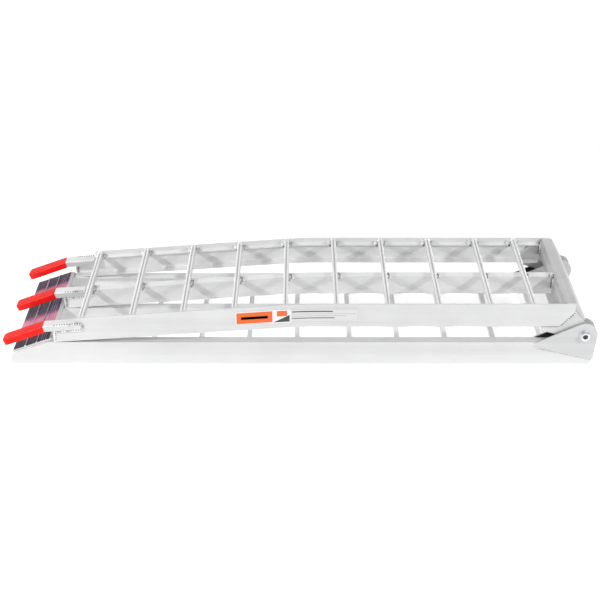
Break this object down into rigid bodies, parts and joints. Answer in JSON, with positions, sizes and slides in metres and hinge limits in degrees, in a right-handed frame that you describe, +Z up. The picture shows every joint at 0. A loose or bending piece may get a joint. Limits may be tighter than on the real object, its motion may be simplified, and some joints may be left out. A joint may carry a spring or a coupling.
{
  "type": "folding loading ramp",
  "caption": "Folding loading ramp, folded flat: an arched aluminium ladder section lies over a straight one on side hinges, with red-covered fingers for a tailgate.",
  "frame": {"origin": "on the floor under the middle of the folded ramp's bounding box", "axes": "+X from the finger end to the hinge end, +Y from the labelled side to the other side, +Z up from the floor the folded ramp lies on"},
  "size_m": [1.186, 0.3186, 0.138],
  "materials": {
    "aluminium": "mill-finish extrusion, satin",
    "steel": "zinc plated",
    "red_vinyl": "dipped vinyl, soft sheen",
    "dark_plate": "dark, glossy",
    "black_nylon": "matt",
    "label": "plain printed sticker"
  },
  "bodies": {
    "lower_section": {"lower_rail_near": "aluminium", "lower_rail_middle": "aluminium", "lower_rail_far": "aluminium", "lower_rung_01": "aluminium", "lower_rung_02": "aluminium", "lower_rung_03": "aluminium", "lower_rung_04": "aluminium", "lower_rung_05": "aluminium", "lower_rung_06": "aluminium", "lower_rung_07": "aluminium", "lower_rung_08": "aluminium", "lower_rung_09": "aluminium", "lower_rung_10": "aluminium", "lower_cross_member": "aluminium", "ground_plate": "dark_plate", "lower_hinge_plate_outer_near": "aluminium", "lower_hinge_plate_inner_near": "aluminium", "hinge_liner_outer_near": "black_nylon", "hinge_liner_inner_near": "black_nylon", "hinge_bolt_near": "steel", "hinge_washer_near": "steel", "hinge_nut_near": "steel", "thrust_washer_near": "steel", "spacer_bush_near": "steel", "lower_hinge_plate_outer_far": "aluminium", "lower_hinge_plate_inner_far": "aluminium", "hinge_liner_outer_far": "black_nylon", "hinge_liner_inner_far": "black_nylon", "hinge_bolt_far": "steel", "hinge_washer_far": "steel", "hinge_nut_far": "steel", "thrust_washer_far": "steel", "spacer_bush_far": "steel"},
    "upper_section": {"upper_rail_near": "aluminium", "upper_rail_middle": "aluminium", "upper_rail_far": "aluminium", "upper_rung_01": "aluminium", "upper_rung_02": "aluminium", "upper_rung_03": "aluminium", "upper_rung_04": "aluminium", "upper_rung_05": "aluminium", "upper_rung_06": "aluminium", "upper_rung_07": "aluminium", "upper_rung_08": "aluminium", "upper_rung_09": "aluminium", "upper_rung_10": "aluminium", "upper_cross_member": "aluminium", "upper_hinge_plate_near": "aluminium", "upper_hinge_plate_far": "aluminium", "finger_near": "aluminium", "finger_cover_near": "red_vinyl", "finger_middle": "aluminium", "finger_cover_middle": "red_vinyl", "finger_far": "aluminium", "finger_cover_far": "red_vinyl", "label": "label"}
  },
  "joints": [
    {"name": "section_fold", "type": "hinge", "parent": "lower_section", "child": "upper_section", "pos_m": [0.5675, 0, 0.069], "axis": [0, 1, 0], "range_deg": [0, 180]}
  ]
}
